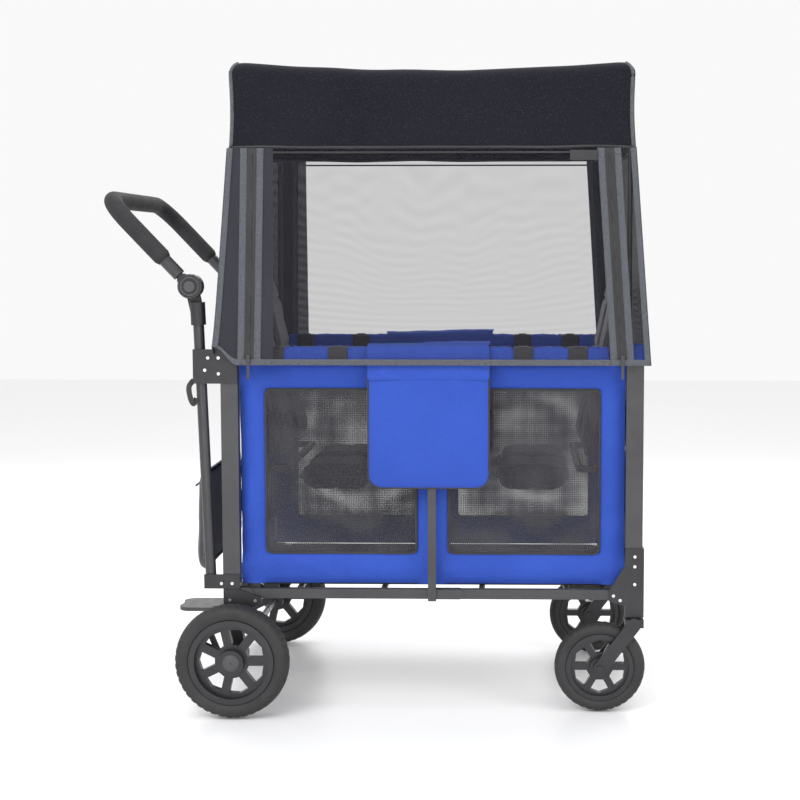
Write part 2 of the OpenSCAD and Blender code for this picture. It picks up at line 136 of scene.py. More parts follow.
def thicken(mesh, thickness):
    """Gives a sheet a thickness, half to each side."""
    work = bmesh.new()
    work.from_mesh(mesh)
    work.normal_update()
    faces = list(work.faces)
    normals = {v: v.normal.copy() for v in work.verts}
    twin = {v: work.verts.new(v.co - normals[v] * thickness / 2) for v in list(work.verts)}
    edges = [(e.verts[0], e.verts[1], e.link_faces[0]) for e in work.edges if len(e.link_faces) == 1]
    for v, normal in normals.items():
        v.co = v.co + normal * thickness / 2
    for face in faces:
        work.faces.new([twin[v] for v in reversed(face.verts)])
    for a, b, face in edges:
        order = [loop.vert for loop in face.loops]
        if order[(order.index(a) + 1) % len(order)] is not b:
            a, b = b, a
        work.faces.new((b, a, twin[a], twin[b]))
    work.normal_update()
    work.to_mesh(mesh)
    work.free()
    return mesh


def tube_mesh(name, path, radius, sides=8, closed=False, flat=1.0, up=Vector((0, 0, 1))):
    """A round or flattened tube along a list of points. flat scales it across the side vector."""
    count = len(path)
    points, faces = [], []
    for i, point in enumerate(path):
        before = path[(i - 1) % count] if closed or i else path[0]
        after = path[(i + 1) % count] if closed or i < count - 1 else path[-1]
        along = (after - before).normalized()
        side = along.cross(up)
        if side.length < 1e-4:
            side = along.cross(Vector((1, 0, 0)))
        side.normalize()
        lift = side.cross(along).normalized()
        size = radius(i / max(1, count - 1)) if callable(radius) else radius
        for k in range(sides):
            angle = 2 * math.pi * k / sides
            points.append(point + side * size * flat * math.cos(angle) + lift * size * math.sin(angle))
    rings = count if closed else count - 1
    for i in range(rings):
        for k in range(sides):
            a, b = i * sides + k, i * sides + (k + 1) % sides
            c, d = ((i + 1) % count) * sides + k, ((i + 1) % count) * sides + (k + 1) % sides
            faces.append((a, c, d, b))
    if not closed:
        faces.append(tuple(range(sides)))
        faces.append(tuple(reversed(range((count - 1) * sides, count * sides))))
    return mesh_from(name, points, faces)


def smooth_path(points, steps=8):
    """A curve through given points."""
    out = []
    for i in range(len(points) - 1):
        a = points[max(i - 1, 0)]
        b, c = points[i], points[i + 1]
        d = points[min(i + 2, len(points) - 1)]
        for s in range(steps):
            t = s / steps
            out.append(0.5 * (2 * b + (c - a) * t + (2 * a - 5 * b + 4 * c - d) * t * t
                              + (3 * b - a - 3 * c + d) * t ** 3))
    out.append(points[-1])
    return out


def join(name, meshes):
    """One mesh of several."""
    work = bmesh.new()
    for mesh in meshes:
        work.from_mesh(mesh)
        bpy.data.meshes.remove(mesh)
    out = bpy.data.meshes.new(name)
    work.to_mesh(out)
    work.free()
    return out


def outward(mesh):
    """Turns every face of a closed mesh outward."""
    work = bmesh.new()
    work.from_mesh(mesh)
    bmesh.ops.recalc_face_normals(work, faces=list(work.faces))
    work.to_mesh(mesh)
    work.free()
    return mesh


def arc_outline(low, high, low_radius, high_radius, steps):
    """A rounded rectangle between two corners, its lower two corners first rounded by low_radius."""
    (a0, b0), (a1, b1) = low, high
    out = []
    for ca, cb, radius, start in ((a1 - low_radius, b0 + low_radius, low_radius, -90),
                                  (a1 - high_radius, b1 - high_radius, high_radius, 0),
                                  (a0 + high_radius, b1 - high_radius, high_radius, 90),
                                  (a0 + low_radius, b0 + low_radius, low_radius, 180)):
        for step in range(steps + 1):
            angle = math.radians(start + 90 * step / steps)
            out.append((ca + radius * math.cos(angle), cb + radius * math.sin(angle)))
    return out


def closely_spaced(outline, spacing=0.02):
    """The same closed outline, with points at most about spacing apart."""
    out = []
    for (a0, b0), (a1, b1) in zip(outline, outline[1:] + outline[:1]):
        steps = max(1, round(math.hypot(a1 - a0, b1 - b0) / spacing))
        out += [(a0 + (a1 - a0) * k / steps, b0 + (b1 - b0) * k / steps) for k in range(steps)]
    return out


def rounded_box(name, low, high, radius, segments=3):
    """A box with rounded edges."""
    work = bmesh.new()
    bmesh.ops.create_cube(work, size=1.0)
    size, middle = high - low, (high + low) / 2
    for v in work.verts:
        v.co = Vector([v.co[k] * size[k] + middle[k] for k in range(3)])
    bmesh.ops.bevel(work, geom=list(work.edges), offset=radius, segments=segments, profile=0.5,
                    affect="EDGES")
    mesh = bpy.data.meshes.new(name)
    work.to_mesh(mesh)
    work.free()
    return mesh


def lathe(name, profile, centre, steps, dent=None):
    """Turns a closed outline of (radius, y) about the Y axis. dent(angle, radius, y) takes off radius."""
    points, faces = [], []
    count = len(profile)
    for i in range(steps):
        angle = 2 * math.pi * i / steps
        for radius, y in profile:
            size = radius - (dent(i, radius, y) if dent else 0.0)
            points.append(centre + Vector((size * math.cos(angle), y, size * math.sin(angle))))
    for i in range(steps):
        for k in range(count):
            a, b = i * count + k, i * count + (k + 1) % count
            c, d = ((i + 1) % steps) * count + (k + 1) % count, ((i + 1) % steps) * count + k
            faces.append((a, b, c, d))
    return outward(mesh_from(name, points, faces))


def wobble(point, size, scale, seed=0.0):
    return size * noise.noise(point * scale + Vector((seed, seed * 0.7, -seed)))


# ---- materials ----


class Shader:
    """A small builder for one node material."""

    def __init__(self, name, colour, rough, metal=0.0):
        self.material = bpy.data.materials.new(name)
        self.material.use_nodes = True
        self.tree = self.material.node_tree
        self.out = self.tree.nodes["Principled BSDF"]
        self.colour = colour
        self.out.inputs["Base Color"].default_value = (*colour, 1)
        self.out.inputs["Roughness"].default_value = rough
        self.out.inputs["Metallic"].default_value = metal
        self.where = self.node("ShaderNodeTexCoord").outputs["Object"]
        self.height = None

    def node(self, kind, **settings):
        made = self.tree.nodes.new(kind)
        for key, value in settings.items():
            setattr(made, key, value)
        return made

    def link(self, a, b):
        self.tree.links.new(a, b)

    def noise(self, scale, detail=3.0):
        made = self.node("ShaderNodeTexNoise")
        made.inputs["Scale"].default_value = scale
        made.inputs["Detail"].default_value = detail
        self.link(self.where, made.inputs["Vector"])
        return made.outputs["Fac"]

    def waves(self, pitch, axes="XYZ"):
        """The sum of bands along the named axes, 0 to 1 for each."""
        total = None
        for axis in axes:
            made = self.node("ShaderNodeTexWave", bands_direction=axis)
            made.inputs["Scale"].default_value = 0.31416 / pitch
            self.link(self.where, made.inputs["Vector"])
            total = made.outputs["Fac"] if total is None else self.math("ADD", total, made.outputs["Fac"])
        return total

    def math(self, operation, a, b):
        made = self.node("ShaderNodeMath", operation=operation)
        for socket, value in zip(made.inputs, (a, b)):
            if isinstance(value, (int, float)):
                socket.default_value = value
            else:
                self.link(value, socket)
        return made.outputs[0]

    def spread(self, value, low, high, to_low=0.0, to_high=1.0):
        made = self.node("ShaderNodeMapRange")
        self.link(value, made.inputs["Value"])
        for key, number in zip(("From Min", "From Max", "To Min", "To Max"), (low, high, to_low, to_high)):
            made.inputs[key].default_value = number
        return made.outputs["Result"]

    def tint(self, value, colour):
        """Mixes the base colour towards another one."""
        made = self.node("ShaderNodeMix", data_type="RGBA")
        self.link(value, made.inputs["Factor"])
        base = self.out.inputs["Base Color"]
        if base.is_linked:
            self.link(base.links[0].from_socket, made.inputs["A"])
        else:
            made.inputs["A"].default_value = (*self.colour, 1)
        made.inputs["B"].default_value = (*colour, 1)
        self.link(made.outputs["Result"], base)

    def bump(self, value, strength, distance):
        made = self.node("ShaderNodeBump")
        made.inputs["Strength"].default_value = strength
        made.inputs["Distance"].default_value = distance
        self.link(value, made.inputs["Height"])
        if self.out.inputs["Normal"].is_linked:
            self.link(self.out.inputs["Normal"].links[0].from_socket, made.inputs["Normal"])
        self.link(made.outputs["Normal"], self.out.inputs["Normal"])

    def rough(self, value, low, high):
        self.link(self.spread(value, 0.3, 0.7, low, high), self.out.inputs["Roughness"])

    def set(self, **values):
        for key, value in values.items():
            self.out.inputs[key.replace("_", " ")].default_value = value
        return self


def powder_coat():
    s = Shader("frame_tube", (0.022, 0.022, 0.025), 0.38)
    s.tint(s.spread(s.noise(9), 0.35, 0.75), (0.032, 0.032, 0.035))
    s.rough(s.noise(40), 0.32, 0.46)
    s.bump(s.noise(1400, 2), 0.10, 0.0006)
    return s.set(Coat_Weight=0.12, Coat_Roughness=0.3).material


def moulded(name, colour, rough):
    s = Shader(name, colour, rough)
    s.tint(s.spread(s.noise(14), 0.4, 0.8), tuple(c * 1.5 for c in colour))
    s.rough(s.noise(55), rough - 0.07, rough + 0.07)
    s.bump(s.noise(900, 3), 0.16, 0.0007)
    return s.set(Specular_IOR_Level=0.45).material


def zinc():
    s = Shader("steel", (0.62, 0.62, 0.64), 0.3, 1.0)
    s.tint(s.spread(s.noise(60), 0.4, 0.8), (0.5, 0.5, 0.52))
    s.rough(s.noise(200), 0.22, 0.4)
    s.bump(s.noise(700), 0.05, 0.0003)
    return s.material


def rubber(name, colour, rough, grain):
    s = Shader(name, colour, rough)
    s.tint(s.spread(s.noise(7), 0.4, 0.75), tuple(c * 1.7 for c in colour))
    s.tint(s.spread(s.noise(160, 4), 0.62, 0.8, 0.0, 0.5), (0.06, 0.058, 0.055))
    s.rough(s.noise(30), rough - 0.08, rough + 0.08)
    s.bump(s.noise(grain, 4), 0.25, 0.0008)
    return s.material


def woven(name, colour, light, pitch=0.0016, rough=0.78, sheen=0.25, weave=0.3):
    """A plain weave with slow shade changes and fine slubs."""
    s = Shader(name, colour, rough)
    s.tint(s.spread(s.noise(5, 2), 0.35, 0.75, 0.0, 0.7), light)
    s.tint(s.spread(s.noise(420, 2), 0.45, 0.75, 0.0, 0.5), tuple(c * 0.55 for c in colour))
    s.bump(s.noise(24, 4), 0.30, 0.004)
    s.bump(s.waves(pitch), weave, 0.0005)
    return s.set(Sheen_Weight=sheen, Sheen_Roughness=0.45).material


def knit():
    """The roof's heathered stretch knit: nearly black, with fine lighter speckles."""
    s = Shader("canopy_knit", (0.0045, 0.0045, 0.009), 0.9)
    s.tint(s.spread(s.noise(4, 2), 0.35, 0.7, 0.0, 0.6), (0.008, 0.008, 0.014))
    s.tint(s.spread(s.noise(520, 2), 0.56, 0.72, 0.0, 0.5), (0.045, 0.045, 0.065))
    s.bump(s.noise(700, 2), 0.35, 0.0008)
    s.bump(s.noise(12, 3), 0.15, 0.004)
    return s.set(Sheen_Weight=0.05, Sheen_Roughness=0.5, Specular_IOR_Level=0.2).material


def melange(name="binding_grey"):
    s = Shader(name, (0.035, 0.038, 0.046), 0.85)
    s.tint(s.spread(s.noise(900, 2), 0.42, 0.62, 0.0, 0.9), (0.12, 0.126, 0.15))
    s.bump(s.waves(0.0014), 0.35, 0.0005)
    return s.set(Sheen_Weight=0.2, Sheen_Roughness=0.5).material


def see_through(name, colour, clear, solid, pitch, rough=0.8):
    """A net: fine threads along X, Y and Z, with the holes between them nearly clear."""
    s = Shader(name, colour, rough)
    threads = s.spread(s.waves(pitch), 0.9, 2.1)
    s.link(s.spread(threads, 0.0, 1.0, clear, solid), s.out.inputs["Alpha"])
    s.tint(s.spread(s.noise(6, 2), 0.35, 0.75, 0.0, 0.6), tuple(min(1.0, c * 1.9) for c in colour))
    s.bump(threads, 0.2, 0.0004)
    return s.material


def studio_floor():
    s = Shader("floor", (0.9, 0.9, 0.91), 0.35)
    s.tint(s.spread(s.noise(0.6, 1), 0.3, 0.7, 0.0, 0.4), (0.87, 0.87, 0.88))
    return s.material


BLUE = (0.010, 0.052, 0.36)
MAT = {
    "frame_tube": powder_coat(),
    "plastic_black": moulded("plastic_black", (0.014, 0.014, 0.016), 0.45),
    "plastic_grey": moulded("plastic_grey", (0.05, 0.05, 0.054), 0.5),
    "rim": moulded("rim", (0.012, 0.012, 0.014), 0.34),
    "steel": zinc(),
    "tyre": rubber("tyre", (0.016, 0.016, 0.017), 0.72, 500),
    "foam_grip": rubber("foam_grip", (0.017, 0.017, 0.019), 0.86, 1200),
    "fabric_blue": woven("fabric_blue", BLUE, (0.017, 0.072, 0.45), sheen=0.06),
    "fabric_black": woven("fabric_black", (0.016, 0.016, 0.018), (0.03, 0.03, 0.034)),
    "seat_fabric": woven("seat_fabric", (0.017, 0.018, 0.024), (0.034, 0.035, 0.045), 0.0022),
    "canopy_knit": knit(),
    "net_black": see_through("net_black", (0.02, 0.02, 0.03), 0.20, 0.25, 0.0015),
    "net_dense": see_through("net_dense", (0.010, 0.010, 0.017), 0.93, 0.985, 0.0015),
    "zip_metal": moulded("zip_metal", (0.02, 0.02, 0.024), 0.3),
    "binding_grey": melange(),
    "webbing": woven("webbing", (0.018, 0.018, 0.02), (0.035, 0.035, 0.038), 0.003, 0.7, 0.2, 0.6),
    "window_mesh": see_through("window_mesh", (0.025, 0.025, 0.03), 0.55, 1.0, 0.0042),
    "piping_black": woven("piping_black", (0.012, 0.012, 0.014), (0.03, 0.03, 0.033), 0.002, 0.6),
}

for row in frame["record"]["subparts"]:
    node_object = bpy.data.objects.get(row["node"])
    if node_object and node_object.type == "MESH":
        for place in node_object.material_slots:
            place.material = MAT[row["material_slot"]]

# ---- camera, light and floor ----


def studio():
    camera = bpy.data.objects.new("camera", bpy.data.cameras.new("camera"))
    bpy.context.collection.objects.link(camera)
    camera.location = spot(0.188, -3.886, 1.032)
    camera.rotation_euler = (math.radians(90 - 5.27), 0, math.radians(1.35))
    camera.data.lens = 73.9
    camera.data.shift_x = -0.098
    bpy.context.scene.camera = camera

    floor = add("studio_floor", mesh_from("studio_floor",
                [(-9, -9, -0.0005), (9, -9, -0.0005), (9, 9, -0.0005), (-9, 9, -0.0005)], [(0, 1, 2, 3)]),
                studio_floor(), smooth=False)

    def panel(name, place, aim, size, power):
        light = bpy.data.objects.new(name, bpy.data.lights.new(name, "AREA"))
        bpy.context.collection.objects.link(light)
        light.data.energy = power
        light.data.shape = "RECTANGLE"
        light.data.size, light.data.size_y = size
        light.location = place
        light.rotation_euler = (Vector(aim) - Vector(place)).to_track_quat("-Z", "Y").to_euler()

    panel("key", (-1.6, -3.2, 3.4), (0.1, 0, 0.7), (2.4, 1.8), 95)
    panel("fill", (3.2, -2.2, 1.8), (0.1, 0, 0.6), (1.8, 2.2), 38)
    panel("top", (0.2, 0.6, 4.0), (0.1, 0, 0.8), (3.0, 3.0), 60)
    panel("back", (0.0, 3.4, 2.2), (0.1, 0, 0.9), (3.0, 1.6), 40)
    panel("low", (0.0, -3.0, 0.5), (0.1, 0, 0.3), (3.0, 0.8), 14)

    world = bpy.data.worlds.new("studio")
    world.use_nodes = True
    sky = world.node_tree.nodes["Background"]
    sky.inputs["Color"].default_value = (1.0, 1.0, 1.0, 1)
    sky.inputs["Strength"].default_value = 0.95
    bpy.context.scene.world = world
    bpy.context.scene.view_settings.view_transform = "Standard"


studio()


def folds_with(piece, low_x, high_x):
    """Gives a soft piece between the two end frames its own copy of its mesh."""
    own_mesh(piece)


def area_of(mesh):
    return sum(p.area for p in mesh.polygons)


# ---- the tub's side walls: puffed blue borders, two mesh windows, black piping ----

WALL_X = 0.428
WALL_LOW, WALL_HIGH = 0.283, 0.784
CELL = 0.008
WINDOW = (0.036, 0.372, 0.352, 0.720)
WALL_Y = 0.2525
PIPE_CORNER = 0.012


def in_window(x, z):
    inner, outer, low, high = WINDOW
    return inner < abs(x) < outer and low < z < high


def border_puff(x, z):
    """How far the padded border stands out, from its distance to the seams."""
    inner, outer, low, high = WINDOW
    edges = [(WALL_X - abs(x), abs(x) - outer), (z - WALL_LOW, low - z), (WALL_HIGH - z, z - high),
             (abs(x), inner - abs(x))]
    best = 0.0
    for near, far in edges:
        if far >= -1e-6 and near >= -1e-6:
            width = near + far
            across = max(0.0, math.sin(math.pi * min(1.0, max(0.0, near / width))))
            if (near, far) == edges[3]:
                across = max(0.0, math.cos(math.pi / 2 * min(1.0, abs(x) / inner)))
            best = max(best, across ** 0.6)
    return 0.0095 * best


def wall_point(side, x, z, puff):
    pucker = wobble(Vector((x * 0.7, side, z)), 0.004, 22) + wobble(Vector((x, side, z)), 0.0016, 75)
    height = (z - WALL_LOW) / (WALL_HIGH - WALL_LOW)
    slack = 0.005 * math.sin(math.pi * (abs(x) / WALL_X)) * math.sin(math.pi * height)
    return spot(x, side * (WALL_Y + puff + pucker * (0.35 + 60 * puff) - slack), z)


def tub_side(side, label):
    columns, rows = round(2 * WALL_X / CELL), round((WALL_HIGH - WALL_LOW) / CELL)

    def place(u, v):
        x, z = WALL_X * (2 * u - 1), WALL_LOW + (WALL_HIGH - WALL_LOW) * v
        return wall_point(side, x, z, border_puff(x, z))

    def is_border(u, v):
        return not in_window(WALL_X * (2 * u - 1), WALL_LOW + (WALL_HIGH - WALL_LOW) * v)

    border = add(f"tub_side_{label}", grid(f"tub_side_{label}", place, columns, rows, is_border),
                 MAT["fabric_blue"], "root")
    nets, pipes = [], []
    inner, outer, low, high = WINDOW
    for way in (-1, 1):
        def net_place(u, v, way=way):
            x, z = way * (inner + (outer - inner) * u), low + (high - low) * v
            sag = 0.006 * math.sin(math.pi * u) * math.sin(math.pi * v)
            return spot(x, side * (WALL_Y + 0.001 - sag + wobble(Vector((x, side, z)), 0.003, 9)), z)

        nets.append(grid("net", net_place, 36, 40))
        dense = closely_spaced(arc_outline((inner, low), (outer, high), PIPE_CORNER, PIPE_CORNER, 4))
        path = [wall_point(side, way * x, z, 0.002) + Vector((0, side * 0.0015, 0)) for x, z in dense]
        pipes.append(tube_mesh("pipe", path, 0.0028, 6, closed=True, up=Vector((0, 1, 0))))
    window = add(f"tub_window_{label}", join(f"tub_window_{label}", nets), MAT["window_mesh"], "root")
    piping = add(f"tub_piping_{label}", join(f"tub_piping_{label}", pipes), MAT["piping_black"], "root")
    round(area_of(border.data), 3)
    for piece in (border, window, piping):
        folds_with(piece, -WALL_X, WALL_X)
    return border


near_wall = tub_side(-1, "near")
tub_side(1, "far")
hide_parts("side_walls")


# ---- the tub's ends ----


def tub_end(way, label, body):
    low, high = box(f"{label}_end_panel")
    x = way * 0.4295
    half, z0, z1 = 0.246, low.z, high.z + 0.012

    def place(u, v):
        y, z = half * (2 * u - 1), z0 + (z1 - z0) * v
        bulge = 0.004 * math.sin(math.pi * u) * math.sin(math.pi * v)
        return spot(x - way * (bulge - wobble(Vector((way, y, z)), 0.003, 16)), y, z)

    def solid(u, v):
        return not (0.14 < u < 0.86 and 0.14 < v < 0.44)

    def hole(u, v):
        return not solid(u, v)

    wall = add(f"tub_end_{label}", grid("end", place, 50, 50, solid), MAT["fabric_blue"], body)
    net = add(f"tub_end_window_{label}", grid("endnet", place, 50, 50, hole), MAT["window_mesh"], body)
    round(area_of(wall.data), 3)
    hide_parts(f"{label}_end_panel")


tub_end(-1, "rear", "root")
tub_end(1, "front", "front")


# ---- floor mats ----


def floor_mat(label):
    low, high = box(f"floor_board_{label}")
    low.y -= 0.007
    high.y += 0.007
    rows = 7

    def place(u, v):
        x, y = low.x + (high.x - low.x) * u, low.y + (high.y - low.y) * v
        quilt = 0.003 * abs(math.sin(math.pi * rows * v)) ** 0.5
        edge = min(1.0, 14 * min(u, 1 - u, v, 1 - v))
        return Vector((x, y, low.z + 0.004 + (high.z - low.z - 0.003 + quilt) * edge ** 0.5))

    top = grid("mat_top", place, 60, 84)
    bottom = grid("mat_bottom", lambda u, v: Vector((low.x + (high.x - low.x) * (1 - u),
                                                     low.y + (high.y - low.y) * v, low.z + 0.003)), 60, 84)
    mat = add(f"floor_mat_{label}", join("mat", [top, bottom]), MAT["fabric_black"], f"bottom_{label}")
    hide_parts(f"floor_board_{label}")


floor_mat("rear")
floor_mat("front")


# ---- seat pads: cut small, remeshed, moved outward by a capped cloth simulation, then mirrored ----


def swollen(mesh, voxel, pressure, cap, pins):
    """Blows a closed mesh up as cloth. pins(point) is how firmly a point is held, from 0 to 1."""
    piece = bpy.data.objects.new("pad_work", mesh)
    bpy.context.collection.objects.link(piece)
    bpy.context.view_layer.update()
    remesh = piece.modifiers.new("remesh", "REMESH")
    remesh.mode, remesh.voxel_size = "VOXEL", voxel
    graph = bpy.context.evaluated_depsgraph_get()
    cut = bpy.data.meshes.new_from_object(piece.evaluated_get(graph))
    piece.modifiers.clear()
    piece.data = cut
    start = [v.co.copy() for v in cut.vertices]
    group = piece.vertex_groups.new(name="seam")
    for i, point in enumerate(start):
        weight = pins(point)
        if weight > 0:
            group.add([i], weight, "REPLACE")
    cloth = piece.modifiers.new("cloth", "CLOTH")
    cloth.settings.quality = 5
    cloth.settings.mass = 0.3
    cloth.settings.use_pressure = True
    cloth.settings.uniform_pressure_force = pressure
    cloth.settings.effector_weights.gravity = 0
    cloth.settings.vertex_group_mass = "seam"
    cloth.point_cache.frame_start, cloth.point_cache.frame_end = 1, 20
    for frame in range(1, 21):
        bpy.context.scene.frame_set(frame)
    graph = bpy.context.evaluated_depsgraph_get()
    blown = bpy.data.meshes.new_from_object(piece.evaluated_get(graph))
    piece.modifiers.clear()
    piece.data = blown
    bpy.context.scene.frame_set(1)
    for v, first in zip(blown.vertices, start):
        moved = v.co - first
        if moved.length > cap:
            v.co = first + moved * (cap / moved.length)
    done = piece.data
    bpy.data.objects.remove(piece)
    return done


def subdivided(mesh):
    work = bmesh.new()
    work.from_mesh(mesh)
    bmesh.ops.subdivide_edges(work, edges=list(work.edges), cuts=1, use_grid_fill=True, smooth=0.6)
    bmesh.ops.smooth_vert(work, verts=list(work.verts), factor=0.4, use_axis_x=True, use_axis_y=True,
                          use_axis_z=True)
    work.to_mesh(mesh)
    work.free()
    return mesh


def pad_outline(half, tall, round_low, round_high, shrink, steps=7):
    """A pad's outline with rounded corners, counted from the middle of its lower edge."""
    return arc_outline((-half + shrink, shrink), (half - shrink, tall - shrink), round_low, round_high, steps)


def slab(outline, thickness):
    """The outline as a slab: X across the thickness, Y and Z the outline."""
    count = len(outline)
    points = [Vector((side * thickness / 2, y, z)) for side in (-1, 1) for y, z in outline]
    faces = [tuple(range(count)), tuple(reversed(range(count, 2 * count)))]
    faces += [(k, (k + 1) % count, (k + 1) % count + count, k + count) for k in range(count)]
    return outward(mesh_from("slab", points, faces))


BACK_TALL, BACK_HALF, BACK_THICK = 0.4202, 0.105, 0.034
BASE_LONG, BASE_HALF, BASE_THICK = 0.168, 0.102, 0.058


def seams(mesh, lines, depth, width, front):
    """Presses sewn channels into both faces. lines are z values, front is the half thickness."""
    for v in mesh.vertices:
        press = sum(math.exp(-((v.co.z - line) / width) ** 2) for line in lines)
        press = min(1.0, press)
        v.co.x -= math.copysign(depth, v.co.x) * press * min(1.0, abs(v.co.x) / front)
    return mesh


def pad(half, tall, thick, corners, shrink, start_thick, cap, channels, depth, front):
    """A slab pressed outward by cloth pressure, cut off at cap and at its solid's room, then channelled."""

    def held(point):
        return 1.0 if abs(point.x) < 0.003 and rim_distance(point, half, tall) < 0.010 else 0.0

    start = slab(pad_outline(half, tall, *corners, shrink), start_thick)
    mesh = subdivided(swollen(start, 0.006, 4.0, cap, held))
    seams(mesh, channels, depth, 0.006, front)
    return fitted(mesh, thick / 2, half, tall)


def rim_distance(point, half, tall):
    return min(half - abs(point.y), point.z, tall - point.z)


def fitted(mesh, thick, half, tall):
    """Keeps a swollen pad inside the room its solid takes, and wrinkles it a little."""
    for v in mesh.vertices:
        fine = wobble(v.co, 0.0016, 38) + wobble(v.co, 0.0008, 110)
        v.co.x += fine
        v.co.x = max(-thick, min(thick, v.co.x))
        v.co.y = max(-half - 0.002, min(half + 0.002, v.co.y))
        v.co.z = max(-0.002, min(tall + 0.002, v.co.z))
    return mesh


def rim_piping(half, tall, corners):
    ring = closely_spaced(pad_outline(half, tall, *corners, 0.003))
    return tube_mesh("rim", [Vector((0, y, z)) for y, z in ring], 0.0026, 6, closed=True,
                     up=Vector((1, 0, 0)))


BACK_CORNERS, BASE_CORNERS = (0.020, 0.058), (0.022, 0.030)
BACK_PAD = pad(BACK_HALF, BACK_TALL, BACK_THICK, BACK_CORNERS, 0.005, 0.018, 0.009,
               (0.105, 0.235, 0.350), 0.0045, 0.010)
BASE_PAD = pad(BASE_HALF, BASE_LONG, BASE_THICK, BASE_CORNERS, 0.006, 0.036, 0.012, (0.084,), 0.004, 0.016)
BACK_RIM = rim_piping(BACK_HALF, BACK_TALL, BACK_CORNERS)
BASE_RIM = rim_piping(BASE_HALF, BASE_LONG, BASE_CORNERS)
LEAN = math.atan2(0.432 - 0.345, 0.975 - 0.564)
SEAT_Y = 0.114


def placed_copy(mesh, matrix):
    copy = mesh.copy()
    copy.transform(matrix)
    if matrix.determinant() < 0:
        copy.flip_normals()
    return copy


for way, label, body in ((-1, "rear", "root"), (1, "front", "front")):
    for side, hand in ((-1, "near"), (1, "far")):
        mirror = Matrix.Diagonal((way, side, 1, 1))
        foot = Matrix.Translation(spot(way * 0.345, side * SEAT_Y, 0.564))
        where = foot @ mirror @ Matrix.Rotation(LEAN, 4, "Y")
        back = add(f"seat_back_{label}_{hand}", placed_copy(BACK_PAD, where), MAT["seat_fabric"], body)
        add(f"seat_back_piping_{label}_{hand}", placed_copy(BACK_RIM, where), MAT["piping_black"], body)
        if side == -1:
            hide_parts(f"seat_backs_{label}")
        hinge = Matrix.Translation(spot(way * 0.308, side * SEAT_Y, 0.516))
        lying = hinge @ mirror @ Matrix.Rotation(math.radians(-90), 4, "Y")
        base = add(f"seat_pad_{label}_{hand}", placed_copy(BASE_PAD, lying), MAT["seat_fabric"],
                   f"seat_{label}")
        add(f"seat_pad_piping_{label}_{hand}", placed_copy(BASE_RIM, lying), MAT["piping_black"],
            f"seat_{label}")
        if side == -1:
            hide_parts(f"seat_base_{label}")


# ---- tyres with a rounded shoulder and a shallow tread ----


def tyre(name, node, body, radius, width, blocks):
    low, high = box(node)
    centre = (low + high) / 2
    inner, half = 0.742 * radius, width / 2
    profile = [(inner, -0.80 * half), (inner + 0.10 * (radius - inner), -0.97 * half)]
    for step in range(9):
        angle = math.radians(-90 + 22.5 * step * 0.98)
        crown = 0.0155 * math.cos(angle) ** 0.8 if abs(angle) < 1.5 else 0.0
        profile.append((radius - 0.016 + crown, half * math.sin(angle)))
    profile += [(radius - 0.0165, half), (inner + 0.10 * (radius - inner), 0.97 * half),
                (inner, 0.80 * half)]

    def dent(i, size, y):
        groove = 0.0
        if size > radius - 0.006:
            phase = (i + (2 if y > 0 else 0)) % 6
            groove = 0.0017 if phase < 2 and abs(y) > 0.18 * half else 0.0
        return groove

    piece = add(name, lathe(name, profile, centre, blocks * 6, dent), MAT["tyre"], body)
    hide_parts(node)


for hand in ("near", "far"):
    tyre(f"tread_rear_{hand}", f"tyre_rear_{hand}", f"wheel_rear_{hand}", 0.127, 0.054, 44)
    tyre(f"tread_front_{hand}", f"tyre_front_{hand}", f"wheel_front_{hand}", 0.1015, 0.042, 36)


# ---- the roof: one sheet over both hoops, turned down on all four sides ----

ROOF_X, ROOF_Y = 0.4475, 0.2785
ROOF_TOP, ROOF_LOW = 1.4400, 1.2520
BEND = 0.028


def rounded_plan(a, b, half_x, half_y, corner):
    """A point of a rounded rectangle, from one of a square's edge."""
    x, y = a * half_x, b * half_y
    cx, cy = math.copysign(half_x - corner, x), math.copysign(half_y - corner, y)
    if abs(x) > half_x - corner and abs(y) > half_y - corner:
        way = Vector((x - cx, y - cy))
        way = way * (corner / max(way.length, 1e-6))
        return cx + way.x, cy + way.y
    return x, y


def roof_place(u, v):
    a, b = 2 * u - 1, 2 * v - 1
    m = max(abs(a), abs(b), 1e-6)
    px, py = rounded_plan(a / m, b / m, ROOF_X, ROOF_Y, 0.027)
    top, arc = 0.62, 0.74
    turn = min(1.0, max(0.0, (m - top) / (arc - top))) * math.pi / 2
    inset = BEND * (1 - math.sin(turn))
    share = min(1.0, m / top)
    taper = 1 - 0.008 * min(1.0, max(0.0, 1 - (m - top) / (1 - top)))
    x = px * (1 - inset / ROOF_X) * share * taper
    y = py * (1 - inset / ROOF_Y) * share
    dip = 0.019 * (1 - (x / ROOF_X) ** 2) + 0.004 * max(0.0, 1 - (x / ROOF_X) ** 2) * (1 - (y / ROOF_Y) ** 2)
    z = ROOF_TOP - dip - BEND * (1 - math.cos(turn)) + wobble(Vector((x, y, 0)), 0.0022, 9)
    if m > arc:
        fall = (m - arc) / (1 - arc)
        start = z
        z = start + (ROOF_LOW - start) * fall
        wave = wobble(Vector((x, y, z * 0.25)), 0.006, 11) * (0.35 + 0.65 * fall)
        pull = 0.006 * math.sin(math.pi * fall)
        x -= (x / ROOF_X) * (pull * 0.5 + abs(wave) * 0.4)
        free = (1 - abs(px / ROOF_X) ** 8) * abs(py / ROOF_Y)
        y -= math.copysign((pull + abs(wave) * 0.6) * free, y)
        z += wobble(Vector((x, y, 3.0)), 0.003, 7) * fall
    return spot(x, y, z)


